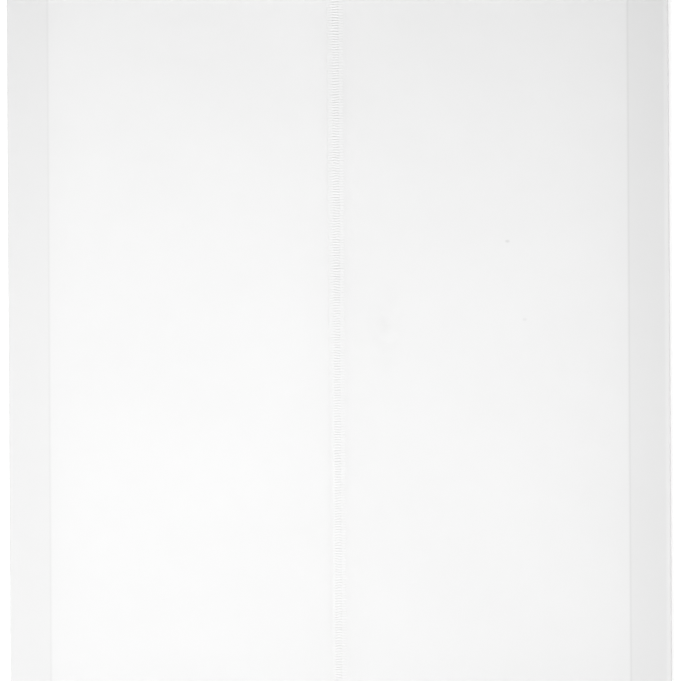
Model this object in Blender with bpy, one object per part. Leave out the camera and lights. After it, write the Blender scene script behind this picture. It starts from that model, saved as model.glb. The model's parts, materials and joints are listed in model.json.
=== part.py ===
"""Snap-button document bag of translucent film, lying on its back panel with the flap snapped shut.

Metres. +X runs across the bag, +Y up to the flap and +Z out of the seam face. The origin is the middle
of the back panel's lower face. Every panel of film between two creases is its own piece, and each crease
is an empty that carries the panels beyond it, so FOLD_ANGLE opens or flattens the gussets as the real
folds do.
"""

import math

import bmesh
import bpy

# Bag and film
BAG_WIDTH = 0.250
BAG_HEIGHT = 0.345
FILM = 0.0003
CLEARANCE = 0.0003

# Gussets: strip from an outer crease to the inner crease, and its rise when the bag is shut
STRIP_WIDTH = 0.0155
FOLD_ANGLE = math.radians(12)
MOUTH_SETBACK = 0.006

# Centre seam of the front: a ribbed weld joins the left half to an edge of the right half that passes under
SEAM_SHIFT = -0.00095
WELD_WIDTH = 0.0028
RIB_PITCH = 0.001
RIB_HEIGHT = 0.00015
UNDERLAP = 0.0017
STEP_RUN = 0.0009

# Bottom seam: the tab that closes the bottom gusset outside the front
TAB_DEPTH = 0.0125

# Flap
FLAP_INSET = 0.002
FLAP_DEPTH = 0.060
FLAP_CORNER = 0.014

# Snap fastener: two domed caps whose posts are clinched in a stud and in a socket
SNAP_FROM_EDGE = 0.013
POST_RADIUS = 0.0017
CLINCH_FLARE = 0.0002
CLINCH_DEPTH = 0.0004
CAP_RADIUS = 0.006
CAP_RIM = 0.0006
CAP_CROWN = 0.0012
BACKING_RADIUS = 0.0055
BACKING_RIM = 0.0005
BACKING_CROWN = 0.0007
STUD_RADIUS = 0.005
STUD_FLANGE = 0.0006
KNOB_NECK = 0.00245
KNOB_RADIUS = 0.0027
KNOB_LENGTH = 0.0013
SOCKET_RADIUS = 0.0053
SOCKET_BASE = 0.0008
RING_WALL = 0.0011
RING_CHAMFER = 0.0003
RING_SLOT = 0.0006

# Facets
ROUND_STEPS = 32
CORNER_STEPS = 8
CROWN_STEPS = 5
KNOB_STEPS = 4

# Levels and lines that follow from the sizes above
LAYER = FILM + CLEARANCE
TOP = BAG_HEIGHT / 2
MOUTH = TOP - MOUTH_SETBACK
CREASE_RISE = FILM + CLEARANCE / 2
STRIP_RISE = STRIP_WIDTH * math.sin(FOLD_ANGLE) + LAYER * math.cos(FOLD_ANGLE)
FRONT_RISE = CREASE_RISE + 2 * STRIP_RISE + CLEARANCE / 2
SEAT = FILM + RIB_HEIGHT + CLEARANCE
WELD_LEFT = SEAM_SHIFT - WELD_WIDTH / 2
WELD_RIGHT = SEAM_SHIFT + WELD_WIDTH / 2
SNAP_Y = TOP - FLAP_DEPTH + SNAP_FROM_EDGE
HOLE_RADIUS = POST_RADIUS + CLEARANCE
SOCKET_BORE = KNOB_RADIUS + CLEARANCE
SOCKET_HEIGHT = SOCKET_BASE + KNOB_LENGTH
FLAP_RISE = FRONT_RISE + SEAT + SOCKET_HEIGHT + CLEARANCE + STUD_FLANGE + CLEARANCE

# Plain finishes, and the angle from which an edge of a round piece is shaded sharp
FILM_COLOUR = (0.88, 0.89, 0.90, 1.0)
FILM_ROUGHNESS = 0.5
WELD_COLOUR = (0.80, 0.81, 0.82, 1.0)
WELD_ROUGHNESS = 0.6
SNAP_COLOUR = (0.92, 0.92, 0.91, 1.0)
SNAP_ROUGHNESS = 0.35
SHARP_ANGLE = math.radians(35)


def clear_scene():
    """Removes every object that the open file holds."""
    for item in list(bpy.data.objects):
        bpy.data.objects.remove(item, do_unlink=True)


def crease(name, location, turn=(0, 0, 0), parent=None):
    """An empty on a fold line, which carries the panels beyond the fold."""
    fold = bpy.data.objects.new(name, None)
    fold.location = location
    fold.rotation_euler = turn
    fold.parent = parent
    bpy.context.collection.objects.link(fold)
    return fold


def dressed(name, bm, parent, location, turn, colour, roughness):
    """The object of a finished mesh, with a plain finish of its own."""
    mesh = bpy.data.meshes.new(name)
    bmesh.ops.recalc_face_normals(bm, faces=bm.faces)
    bm.to_mesh(mesh)
    bm.free()
    finish = bpy.data.materials.new(name)
    finish.use_nodes = True
    shader = finish.node_tree.nodes["Principled BSDF"]
    shader.inputs["Base Color"].default_value = colour
    shader.inputs["Roughness"].default_value = roughness
    mesh.materials.append(finish)
    piece = bpy.data.objects.new(name, mesh)
    piece.location = location
    piece.rotation_euler = (0, 0, turn)
    piece.parent = parent
    bpy.context.collection.objects.link(piece)
    return piece


def prism(
    name, outline, sweep, parent, location=(0, 0, 0), turn=0.0, colour=FILM_COLOUR, roughness=FILM_ROUGHNESS
):
    """A solid swept straight from a flat outline of points."""
    bm = bmesh.new()
    face = bm.faces.new([bm.verts.new(point) for point in outline])
    swept = bmesh.ops.extrude_face_region(bm, geom=[face])["geom"]
    moved = [item for item in swept if isinstance(item, bmesh.types.BMVert)]
    bmesh.ops.translate(bm, vec=sweep, verts=moved)
    return dressed(name, bm, parent, location, turn, colour, roughness)


def panel(name, outline, parent, location=(0, 0, 0)):
    """A flat panel of film over an outline of (x, y) points."""
    return prism(name, [(x, y, 0) for x, y in outline], (0, 0, FILM), parent, location)


def turned(name, profile, parent, location):
    """A round piece turned about its own Z axis from (radius, height) points."""
    bm = bmesh.new()
    points = [bm.verts.new((radius, 0, height)) for radius, height in profile]
    edges = [bm.edges.new(pair) for pair in zip(points, points[1:])]
    if profile[0][0] > 0:
        edges.append(bm.edges.new((points[-1], points[0])))
    whole = points + edges
    bmesh.ops.spin(bm, geom=whole, axis=(0, 0, 1), angle=math.tau, steps=ROUND_STEPS, use_merge=True)
    bmesh.ops.remove_doubles(bm, verts=bm.verts, dist=CLEARANCE / 100)
    piece = dressed(name, bm, parent, location, 0.0, SNAP_COLOUR, SNAP_ROUGHNESS)
    piece.data.shade_smooth()
    piece.data.set_sharp_from_angle(angle=SHARP_ANGLE)
    return piece


def cut(piece, cutter):
    """Takes a hidden cutter's shape out of a piece."""
    cutter.hide_render = True
    cutter.display_type = "WIRE"
    away = piece.modifiers.new(cutter.name, "BOOLEAN")
    away.operation = "DIFFERENCE"
    away.object = cutter


def drill(piece, x, y):
    """A hole for a snap post through a panel, at a point of the panel's own frame."""
    reach = FILM + LAYER + CLEARANCE
    profile = [(0, -reach), (HOLE_RADIUS, -reach), (HOLE_RADIUS, reach), (0, reach)]
    cut(piece, turned(piece.name + "_hole", profile, piece, (x, y, 0)))


def arc(centre_x, centre_y, radius, start, end, steps):
    """Points along an arc between two angles."""
    angles = [start + (end - start) * n / steps for n in range(steps + 1)]
    return [(centre_x + radius * math.cos(a), centre_y + radius * math.sin(a)) for a in angles]


def build_back():
    """The seamless back panel, which the bag lies on."""
    half = BAG_WIDTH / 2
    return panel("back_panel", [(-half, -TOP), (half, -TOP), (half, TOP), (-half, TOP)], None)


def build_side_gusset(word, side):
    """The two strips of a side gusset, mitred where they meet the bottom gusset. side is -1 on the left."""
    near = CLEARANCE / 2
    far = STRIP_WIDTH - near
    mitre = near * math.sqrt(2) - TOP
    outline = [(near, near + mitre), (far, far + mitre), (far, MOUTH), (near, MOUTH)]
    turn = side * FOLD_ANGLE
    rear = crease(word + "_rear_fold", (side * BAG_WIDTH / 2, 0, CREASE_RISE), (0, turn, 0))
    front = crease(word + "_front_fold", (-side * STRIP_WIDTH, 0, LAYER), (0, -2 * turn, 0), rear)
    inward = [(-side * x, y) for x, y in outline]
    outward = [(side * (STRIP_WIDTH - x), y) for x, y in outline]
    panel(f"gusset_{word}_rear", inward, rear, (0, 0, near))
    panel(f"gusset_{word}_front", outward, front, (0, 0, near))
    return front


def build_bottom_gusset():
    """The two strips of the bottom gusset."""
    near = CLEARANCE / 2
    far = STRIP_WIDTH - near
    mitre = BAG_WIDTH / 2 - near * math.sqrt(2)
    outline = [(near - mitre, near), (mitre - near, near), (mitre - far, far), (far - mitre, far)]
    rear = crease("bottom_rear_fold", (0, -TOP, CREASE_RISE), (FOLD_ANGLE, 0, 0))
    front = crease("bottom_front_fold", (0, STRIP_WIDTH, LAYER), (-2 * FOLD_ANGLE, 0, 0), rear)
    panel("gusset_bottom_rear", outline, rear, (0, 0, near))
    panel("gusset_bottom_front", [(x, y - STRIP_WIDTH) for x, y in outline], front, (0, 0, near))


def build_front(left_front):
    """The front: two halves, their ribbed centre weld, and the bottom tab with its weld."""
    front = crease("front_fold", (-STRIP_WIDTH, 0, LAYER), (0, -FOLD_ANGLE, 0), left_front)
    face = crease("front_face", (BAG_WIDTH / 2, 0, CLEARANCE / 2), parent=front)
    half = BAG_WIDTH / 2
    left_edge = WELD_LEFT - CLEARANCE
    left = [(-half, -TOP), (left_edge, -TOP), (left_edge, MOUTH), (-half, MOUTH)]
    panel("front_left_half", left, face)
    foot = WELD_RIGHT + CLEARANCE / 2
    head = foot + STEP_RUN
    under = WELD_LEFT - UNDERLAP
    lower = [(under, -LAYER), (foot, -LAYER), (head, 0), (half, 0)]
    upper = [(x, z + FILM) for x, z in reversed(lower)]
    section = [(x, -TOP, z) for x, z in lower + upper]
    right = prism("front_right_half", section, (0, MOUTH + TOP, 0), face)
    trim_underlap(right, under - CLEARANCE, head)
    drill(right, 0, SNAP_Y)
    stop = HOLE_RADIUS + CLEARANCE
    upright = math.pi / 2
    build_weld("centre_weld_lower", SNAP_Y - stop + TOP, face, (WELD_RIGHT, -TOP, 0), upright)
    build_weld("centre_weld_upper", MOUTH - SNAP_Y - stop, face, (WELD_RIGHT, SNAP_Y + stop, 0), upright)
    side = half - STRIP_WIDTH
    tab_end = TAB_DEPTH - TOP
    tab = [(-side, -TOP), (side, -TOP), (side, tab_end), (-side, tab_end)]
    panel("bottom_tab", tab, face, (0, 0, SEAT))
    build_weld("bottom_weld", 2 * side, face, (-side, tab_end + CLEARANCE, SEAT), 0.0)
    return face


def trim_underlap(right, start, end):
    """Cuts the right half's stepped edge away above the bottom gusset, which folds in there."""
    low = -TOP - CLEARANCE
    high = -TOP + STRIP_WIDTH + CLEARANCE
    floor = -LAYER - CLEARANCE
    outline = [(start, low, floor), (end, low, floor), (end, high, floor), (start, high, floor)]
    cut(right, prism("underlap_trim", outline, (0, 0, FILM + CLEARANCE - floor), right))


def build_weld(name, length, parent, location, turn):
    """A sealed band of film: ridges at an even pitch along local X, swept across the band."""
    ridges = max(1, round(length / RIB_PITCH))
    step = length / ridges
    profile = [(0, 0), (length, 0), (length, FILM)]
    for n in reversed(range(ridges)):
        profile.append(((n + 0.5) * step, FILM + RIB_HEIGHT))
        profile.append((n * step, FILM))
    outline = [(x, 0, z) for x, z in profile]
    prism(name, outline, (0, WELD_WIDTH, 0), parent, location, turn, WELD_COLOUR, WELD_ROUGHNESS)


def build_flap():
    """The flap's spine, which stands over the mouth, and the flap with its rounded corners."""
    half = BAG_WIDTH / 2 - FLAP_INSET
    root = crease("flap_root_fold", (0, TOP, CREASE_RISE))
    spine_foot = CLEARANCE / 2
    spine_head = FLAP_RISE - CLEARANCE - CREASE_RISE
    foot = [(-half, 0, spine_foot), (half, 0, spine_foot)]
    head = [(half, 0, spine_head), (-half, 0, spine_head)]
    prism("flap_spine", foot + head, (0, -FILM, 0), root)
    fold = crease("flap_fold", (0, 0, spine_head + CLEARANCE / 2), parent=root)
    round_x = half - FLAP_CORNER
    round_y = FLAP_CORNER - FLAP_DEPTH
    left = arc(-round_x, round_y, FLAP_CORNER, math.pi, 1.5 * math.pi, CORNER_STEPS)
    right = arc(round_x, round_y, FLAP_CORNER, 1.5 * math.pi, math.tau, CORNER_STEPS)
    flap = panel("flap_panel", left + right + [(half, 0), (-half, 0)], fold, (0, 0, CLEARANCE / 2))
    drill(flap, 0, SNAP_Y - TOP)
    return flap


def crown(radius, rim, rise):
    """The (radius, height) points of a domed cap, from its rim to the middle."""
    angles = [math.pi / 2 * n / CROWN_STEPS for n in range(CROWN_STEPS + 1)]
    dome = [(radius * math.cos(a), rim + rise * math.sin(a)) for a in angles]
    return dome[:-1] + [(0, rim + rise)]


def cap_profile(radius, rim, rise, post):
    """A domed cap with its post below, flared at the end where it is clinched."""
    flare = POST_RADIUS + CLINCH_FLARE
    clinch = [(0, -post), (flare, -post), (POST_RADIUS, CLINCH_DEPTH - post)]
    return clinch + [(POST_RADIUS, 0), (radius, 0)] + crown(radius, rim, rise)


def build_stud(flap):
    """The flap's half of the snap: a domed cap outside, and the stud under it that the socket grips."""
    seat = (0, SNAP_Y - TOP, FILM + CLEARANCE)
    post = FILM + 2 * CLEARANCE + STUD_FLANGE + KNOB_LENGTH
    turned("snap_cap", cap_profile(CAP_RADIUS, CAP_RIM, CAP_CROWN, post), flap, seat)
    end = -STUD_FLANGE - KNOB_LENGTH
    profile = [(HOLE_RADIUS, 0), (STUD_RADIUS, 0), (STUD_RADIUS, -STUD_FLANGE)]
    for n in range(KNOB_STEPS + 1):
        share = n / KNOB_STEPS
        bulge = (KNOB_RADIUS - KNOB_NECK) * math.sin(math.pi * share)
        profile.append((KNOB_NECK + bulge, -STUD_FLANGE - KNOB_LENGTH * share))
    profile += [(HOLE_RADIUS + CLINCH_FLARE, end), (HOLE_RADIUS, end + CLINCH_DEPTH)]
    turned("snap_stud", profile, flap, (0, SNAP_Y - TOP, -CLEARANCE))


def build_socket(face):
    """The front's half of the snap: a slotted socket outside, and its domed backing inside the bag."""
    outer = SOCKET_BORE + RING_WALL
    base = [(HOLE_RADIUS, 0), (SOCKET_RADIUS, 0), (SOCKET_RADIUS, SOCKET_BASE), (outer, SOCKET_BASE)]
    ring = [(outer, SOCKET_HEIGHT - RING_CHAMFER), (outer - RING_CHAMFER, SOCKET_HEIGHT)]
    bore = [(SOCKET_BORE, SOCKET_HEIGHT), (SOCKET_BORE, SOCKET_BASE)]
    clinch = [(HOLE_RADIUS + CLINCH_FLARE, SOCKET_BASE), (HOLE_RADIUS, SOCKET_BASE - CLINCH_DEPTH)]
    socket = turned("snap_socket", base + ring + bore + clinch, face, (0, SNAP_Y, SEAT))
    reach = outer + CLEARANCE
    for word, turn in (("along", 0.0), ("across", math.pi / 2)):
        gap = RING_SLOT / 2
        slot = [(-reach, -gap, 0), (reach, -gap, 0), (reach, gap, 0), (-reach, gap, 0)]
        place = (0, 0, SOCKET_BASE + CLEARANCE)
        cut(socket, prism("snap_socket_slot_" + word, slot, (0, 0, SOCKET_HEIGHT), socket, place, turn))
    under = LAYER + CLEARANCE
    backing = cap_profile(BACKING_RADIUS, BACKING_RIM, BACKING_CROWN, under + SEAT + SOCKET_BASE)
    turned("snap_backing", [(radius, -height) for radius, height in backing], face, (0, SNAP_Y, -under))


def main():
    """Builds the bag from its back panel outwards."""
    clear_scene()
    build_back()
    left_front = build_side_gusset("left", -1)
    build_side_gusset("right", 1)
    build_bottom_gusset()
    face = build_front(left_front)
    flap = build_flap()
    build_socket(face)
    build_stud(flap)


main()
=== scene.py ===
"""Looks of a snap-button document bag: milky film, folded gussets, a ribbed centre seam and a snap.

Metres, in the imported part's frame: +X runs across the bag, +Y up to the flap and +Z out of the seam face.
"""

import json
import logging
import math
from dataclasses import dataclass, field
from enum import Enum
from typing import Callable, Sequence

import bmesh
import bpy
from mathutils import Euler, Matrix, Vector, noise
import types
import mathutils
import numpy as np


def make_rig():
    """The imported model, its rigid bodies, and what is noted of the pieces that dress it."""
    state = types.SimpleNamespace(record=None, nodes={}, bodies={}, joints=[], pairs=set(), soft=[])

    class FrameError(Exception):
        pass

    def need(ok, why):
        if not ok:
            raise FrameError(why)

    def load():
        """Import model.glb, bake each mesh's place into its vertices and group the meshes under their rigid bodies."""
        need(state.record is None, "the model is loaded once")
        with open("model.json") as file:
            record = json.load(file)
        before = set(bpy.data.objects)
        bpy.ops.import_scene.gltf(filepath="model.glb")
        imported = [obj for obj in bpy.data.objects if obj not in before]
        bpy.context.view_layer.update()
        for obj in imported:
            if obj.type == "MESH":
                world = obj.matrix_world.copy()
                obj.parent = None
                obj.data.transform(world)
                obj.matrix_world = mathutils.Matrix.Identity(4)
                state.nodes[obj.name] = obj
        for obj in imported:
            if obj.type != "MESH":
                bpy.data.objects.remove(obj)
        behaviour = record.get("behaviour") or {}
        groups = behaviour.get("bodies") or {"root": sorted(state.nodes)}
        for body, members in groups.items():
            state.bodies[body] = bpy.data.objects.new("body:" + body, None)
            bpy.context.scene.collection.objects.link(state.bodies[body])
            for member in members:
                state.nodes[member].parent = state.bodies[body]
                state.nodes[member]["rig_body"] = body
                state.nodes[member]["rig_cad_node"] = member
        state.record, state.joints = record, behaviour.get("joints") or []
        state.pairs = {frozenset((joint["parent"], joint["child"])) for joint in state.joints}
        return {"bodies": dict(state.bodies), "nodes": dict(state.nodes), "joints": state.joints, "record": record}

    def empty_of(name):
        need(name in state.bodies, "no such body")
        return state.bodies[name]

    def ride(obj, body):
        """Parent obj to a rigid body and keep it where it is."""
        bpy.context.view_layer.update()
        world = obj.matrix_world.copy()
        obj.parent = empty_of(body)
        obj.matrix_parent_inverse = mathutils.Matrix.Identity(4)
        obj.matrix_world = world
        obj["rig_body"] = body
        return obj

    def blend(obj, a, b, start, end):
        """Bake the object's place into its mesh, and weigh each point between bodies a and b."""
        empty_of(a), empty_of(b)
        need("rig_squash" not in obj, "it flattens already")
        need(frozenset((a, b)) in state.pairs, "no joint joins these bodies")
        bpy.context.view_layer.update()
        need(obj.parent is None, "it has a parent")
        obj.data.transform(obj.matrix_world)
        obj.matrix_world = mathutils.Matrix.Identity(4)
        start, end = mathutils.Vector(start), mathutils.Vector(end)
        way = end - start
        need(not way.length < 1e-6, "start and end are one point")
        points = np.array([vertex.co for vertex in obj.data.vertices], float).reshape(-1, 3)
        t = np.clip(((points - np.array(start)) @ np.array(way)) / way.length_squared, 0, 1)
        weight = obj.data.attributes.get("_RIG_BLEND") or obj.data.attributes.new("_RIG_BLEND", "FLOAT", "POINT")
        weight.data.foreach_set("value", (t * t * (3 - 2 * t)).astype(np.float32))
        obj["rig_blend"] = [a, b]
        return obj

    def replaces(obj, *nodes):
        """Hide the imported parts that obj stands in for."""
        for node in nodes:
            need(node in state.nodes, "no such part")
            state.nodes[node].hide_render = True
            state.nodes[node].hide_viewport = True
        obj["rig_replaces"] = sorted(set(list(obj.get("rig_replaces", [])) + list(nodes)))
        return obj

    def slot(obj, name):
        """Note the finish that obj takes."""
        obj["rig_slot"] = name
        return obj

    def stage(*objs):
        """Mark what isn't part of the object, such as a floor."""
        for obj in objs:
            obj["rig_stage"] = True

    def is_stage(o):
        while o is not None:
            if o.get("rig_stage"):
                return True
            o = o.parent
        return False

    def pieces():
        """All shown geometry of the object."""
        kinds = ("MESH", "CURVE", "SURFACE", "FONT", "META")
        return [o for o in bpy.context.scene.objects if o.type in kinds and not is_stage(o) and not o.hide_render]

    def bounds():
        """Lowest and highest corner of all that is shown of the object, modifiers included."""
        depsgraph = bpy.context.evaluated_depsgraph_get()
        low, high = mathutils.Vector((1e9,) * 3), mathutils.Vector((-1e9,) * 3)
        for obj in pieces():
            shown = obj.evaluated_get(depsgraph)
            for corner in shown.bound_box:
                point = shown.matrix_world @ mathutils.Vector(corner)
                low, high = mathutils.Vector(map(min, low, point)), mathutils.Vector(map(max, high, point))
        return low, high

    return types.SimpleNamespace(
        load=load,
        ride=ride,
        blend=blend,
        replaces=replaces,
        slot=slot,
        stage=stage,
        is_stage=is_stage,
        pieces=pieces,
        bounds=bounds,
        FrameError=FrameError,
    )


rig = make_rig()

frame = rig.load()
CAD_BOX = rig.bounds()
LOG = logging.getLogger("document_bag")

Point = tuple[float, float, float]
Colour = tuple[float, float, float]
Socket = bpy.types.NodeSocket

MM = 0.001
SIZE_FILE = "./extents.json"
SHARP_ANGLE = math.radians(40)


class Slot(Enum):
    """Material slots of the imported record."""

    FILM = "film"
    WELD = "weld"
    SNAP = "snap"


class Edge(Enum):
    """Sides of the bag that have a gusset."""

    LEFT = "left"
    RIGHT = "right"
    BOTTOM = "bottom"


def eased(value: float, low: float, high: float) -> float:
    """Eases from 0 at low to 1 at high.

    Args:
        value: The number to place between the two ends.
        low: Where the rise starts.
        high: Where the rise ends.

    Returns:
        A share from 0 to 1.
    """
    share = min(1.0, max(0.0, (value - low) / (high - low)))
    return share * share * (3.0 - 2.0 * share)


def bell(distance: float, reach: float) -> float:
    """A bell curve of a distance: 1 at nought, about a third at reach."""
    return math.exp(-((distance / reach) ** 2))


def drift(x: float, y: float, pitch: float, seed: float) -> float:
    """Smooth noise over the bag's plane, from about -1 to 1.

    Args:
        x: Place across the bag.
        y: Place up the bag.
        pitch: Distance over which the noise changes.
        seed: Number that tells one noise from another.

    Returns:
        The noise at that place.
    """
    return noise.noise(Vector((x / pitch, y / pitch, seed)))


def spaced(start: float, end: float, pitch: float) -> list[float]:
    """Even places from start to end, both included, about a pitch apart."""
    count = max(1, round(abs(end - start) / pitch))
    return [start + (end - start) * n / count for n in range(count + 1)]


@dataclass(frozen=True)
class BagSizes:
    """Sizes that the film pieces share, the same as the CAD part's."""

    width: float = 250 * MM
    height: float = 345 * MM
    film: float = 0.3 * MM
    gap: float = 0.3 * MM
    strip: float = 15.5 * MM
    fold: float = math.radians(12)
    mouth_setback: float = 6 * MM
    flap_depth: float = 60 * MM
    flap_level: float = 12.569 * MM
    snap_from_edge: float = 13 * MM

    @property
    def half(self) -> float:
        """Half of the bag's width."""
        return self.width / 2

    @property
    def top(self) -> float:
        """The flap's root line, and minus the bottom edge."""
        return self.height / 2

    @property
    def mouth(self) -> float:
        """The upper edge of the front."""
        return self.top - self.mouth_setback

    @property
    def flap_edge(self) -> float:
        """The free edge of the closed flap."""
        return self.top - self.flap_depth

    @property
    def snap_up(self) -> float:
        """Place of the snap up the bag."""
        return self.flap_edge + self.snap_from_edge

    @property
    def crease(self) -> float:
        """Height of the fold lines on the back panel."""
        return self.film + self.gap / 2

    @property
    def inner_crease(self) -> tuple[float, float]:
        """The inner fold line of a gusset, as its distance from the edge and its height."""
        layer = self.film + self.gap
        away = self.strip * math.cos(self.fold) - layer * math.sin(self.fold)
        rise = self.strip * math.sin(self.fold) + layer * math.cos(self.fold)
        return away, self.crease + rise

    @property
    def front_crease(self) -> float:
        """Height of the fold lines under the front's edges."""
        return 2 * self.inner_crease[1] - self.crease

    @property
    def front_face(self) -> float:
        """Height of the front's outer face where it lies flat."""
        return self.front_crease + self.gap / 2 + self.film


BAG = BagSizes()


@dataclass(frozen=True)
class Drape:
    """How the empty bag's front sinks between its edges, its seam and the snap."""

    sag: float = 1.1 * MM
    ripple: float = 0.2 * MM
    ripple_pitch: float = 34 * MM
    seam_hold: float = 0.5
    seam_reach: float = 26 * MM
    snap_reach: float = 24 * MM

    def at(self, x: float, y: float) -> float:
        """How far the front stands above its flat level.

        Args:
            x: Place across the bag.
            y: Place up the bag.

        Returns:
            The rise, below nought where the film sags.
        """
        side = BAG.half - abs(x)
        foot = y + BAG.top
        free = 1.0 - bell(math.hypot(x, y - BAG.snap_up), self.snap_reach)
        sink = eased(side, 12 * MM, 80 * MM) * eased(foot, 18 * MM, 95 * MM)
        seam = 1.0 - self.seam_hold * bell(x, self.seam_reach)
        wave = drift(x, y, self.ripple_pitch, 1.7) + 0.4 * drift(x, y, self.ripple_pitch / 2.3, 8.1)
        hem = eased(side, 3 * MM, 26 * MM) * eased(foot, 16 * MM, 40 * MM)
        return free * (self.ripple * wave * hem - self.sag * sink * seam)


DRAPE = Drape()


class NodeBench:
    """Short calls that lay out the nodes of one tree."""

    def __init__(self, tree: bpy.types.NodeTree) -> None:
        """Keeps the tree that the nodes go into."""
        self.tree = tree

    def add(self, kind: str, inputs: dict[str, object] | None = None, **settings: object) -> bpy.types.Node:
        """Adds a node.

        Args:
            kind: Blender's name for the node.
            inputs: Values, or output sockets to link, by the name of the input.
            settings: Properties of the node.

        Returns:
            The new node.
        """
        node = self.tree.nodes.new(kind)
        for name, value in settings.items():
            setattr(node, name, value)
        for name, value in (inputs or {}).items():
            self.feed(node.inputs[name], value)
        return node

    def feed(self, socket: Socket, value: object) -> None:
        """Links an output to a socket, or sets the socket's own value."""
        if isinstance(value, Socket):
            self.tree.links.new(value, socket)
        else:
            socket.default_value = value

    def maths(self, operation: str, first: object, second: object) -> Socket:
        """The result of a Math node on two values or sockets."""
        node = self.add("ShaderNodeMath", operation=operation)
        self.feed(node.inputs[0], first)
        self.feed(node.inputs[1], second)
        return node.outputs[0]

    def ramp(self, value: Socket, low: float, high: float) -> Socket:
        """A share that rises from 0 to 1 as a value goes from low to high."""
        ends = {"Value": value, "From Min": low, "From Max": high}
        return self.add("ShaderNodeMapRange", ends).outputs["Result"]

    def spot(self, place: Socket, centre: Point, size: Point) -> Socket:
        """A share that falls from 1 at a point to 0 at a distance from it.

        Args:
            place: The coordinates.
            centre: The point.
            size: Where the share ends, along each axis.

        Returns:
            The share's socket.
        """
        turned = {"Vector": place, "Location": centre, "Scale": size}
        near = self.add("ShaderNodeMapping", turned, vector_type="TEXTURE").outputs["Vector"]
        ball = self.add("ShaderNodeTexGradient", {"Vector": near}, gradient_type="SPHERICAL")
        return ball.outputs["Fac"]


def new_group(
    name: str, takes: dict[str, str], gives: dict[str, str]
) -> tuple[NodeBench, bpy.types.Node, bpy.types.Node]:
    """Starts a shader node group.

    Args:
        name: The group's name.
        takes: Socket type by the name of each input.
        gives: Socket type by the name of each output.

    Returns:
        The bench for its nodes, its input node and its output node.
    """
    tree = bpy.data.node_groups.new(name, "ShaderNodeTree")
    for label, kind in takes.items():
        tree.interface.new_socket(label, in_out="INPUT", socket_type=kind)
    for label, kind in gives.items():
        tree.interface.new_socket(label, in_out="OUTPUT", socket_type=kind)
    bench = NodeBench(tree)
    return bench, bench.add("NodeGroupInput"), bench.add("NodeGroupOutput")


def cloud_group() -> bpy.types.NodeTree:
    """The shared unevenness of the plastics: a faint cloud in the colour, an uneven satin and a fine grain.

    Returns:
        A group with Colour, Cloud, Roughness, Spread and Layer in, and Colour, Roughness and Height out.
    """
    takes = {"Colour": "NodeSocketColor"}
    takes.update({label: "NodeSocketFloat" for label in ("Cloud", "Roughness", "Spread", "Layer")})
    gives = {"Colour": "NodeSocketColor", "Roughness": "NodeSocketFloat", "Height": "NodeSocketFloat"}
    bench, taken, given = new_group("plastic_cloud", takes, gives)
    place = bench.add("ShaderNodeTexCoord").outputs["Object"]

    def speckle(scale: float, detail: float) -> Socket:
        """Noise over the piece at a number of repeats a metre."""
        settings = {"Vector": place, "W": taken.outputs["Layer"], "Scale": scale, "Detail": detail}
        return bench.add("ShaderNodeTexNoise", settings, noise_dimensions="4D").outputs["Fac"]

    broad = speckle(22.0, 3.0)
    close = speckle(150.0, 4.0)
    mixed = bench.maths("ADD", bench.maths("MULTIPLY", broad, 0.65), bench.maths("MULTIPLY", close, 0.35))
    lost = bench.maths("MULTIPLY", mixed, taken.outputs["Cloud"])
    kept = bench.maths("SUBTRACT", 1.0, lost)
    tinted = bench.add("ShaderNodeVectorMath", {"Scale": kept}, operation="SCALE")
    bench.feed(tinted.inputs[0], taken.outputs["Colour"])
    bench.feed(given.inputs["Colour"], tinted.outputs[0])
    swing = bench.maths("MULTIPLY", bench.maths("SUBTRACT", close, 0.5), taken.outputs["Spread"])
    bench.feed(given.inputs["Roughness"], bench.maths("ADD", taken.outputs["Roughness"], swing))
    bench.feed(given.inputs["Height"], speckle(1600.0, 2.0))
    return bench.tree


@dataclass(frozen=True)
class PlasticFinish:
    """A plastic with a faint cloud in its colour and a fine grain in its face."""

    name: str
    colour: Colour
    roughness: float
    alpha: float = 1.0
    cloud: float = 0.02
    spread: float = 0.1
    grain: float = 0.12
    grain_depth: float = 0.05 * MM
    coat: float = 0.0
    layer: float = 0.0

    def material(self, cloud: bpy.types.NodeTree) -> bpy.types.Material:
        """Makes the Blender material.

        Args:
            cloud: The group of shared unevenness.

        Returns:
            A material with the group placed in it.
        """
        made = bpy.data.materials.new(self.name)
        made.use_nodes = True
        bench = NodeBench(made.node_tree)
        shader = made.node_tree.nodes["Principled BSDF"]
        group = bench.add("ShaderNodeGroup", node_tree=cloud)
        for label, value in (
            ("Colour", (*self.colour, 1.0)),
            ("Cloud", self.cloud),
            ("Roughness", self.roughness),
            ("Spread", self.spread),
            ("Layer", self.layer),
        ):
            group.inputs[label].default_value = value
        bump = bench.add("ShaderNodeBump", {"Height": group.outputs["Height"]})
        bump.inputs["Strength"].default_value = self.grain
        bump.inputs["Distance"].default_value = self.grain_depth
        bench.feed(shader.inputs["Base Color"], self.marked_and_shaded(bench, group.outputs["Colour"]))
        bench.feed(shader.inputs["Roughness"], group.outputs["Roughness"])
        bench.feed(shader.inputs["Normal"], bump.outputs["Normal"])
        shader.inputs["IOR"].default_value = 1.49
        shader.inputs["Alpha"].default_value = self.alpha
        shader.inputs["Coat Weight"].default_value = self.coat
        return made

    def marked_and_shaded(self, bench: NodeBench, colour: Socket) -> Socket:
        """The colour with the finish's own marks and painted shade, of which a plain plastic has none."""
        return colour


@dataclass(frozen=True)
class StripShade:
    """Painted shade of a gusset strip on the face, as shares of light lost: darker where the gusset lies under the
    face, partly the layered film's greyer look, with a painted dark crease line, painted shade deepening outwards and
    a painted lighter band at the rim.
    """

    side: float
    laid_shade: float
    crease: float
    fade: float
    rim: float


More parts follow.
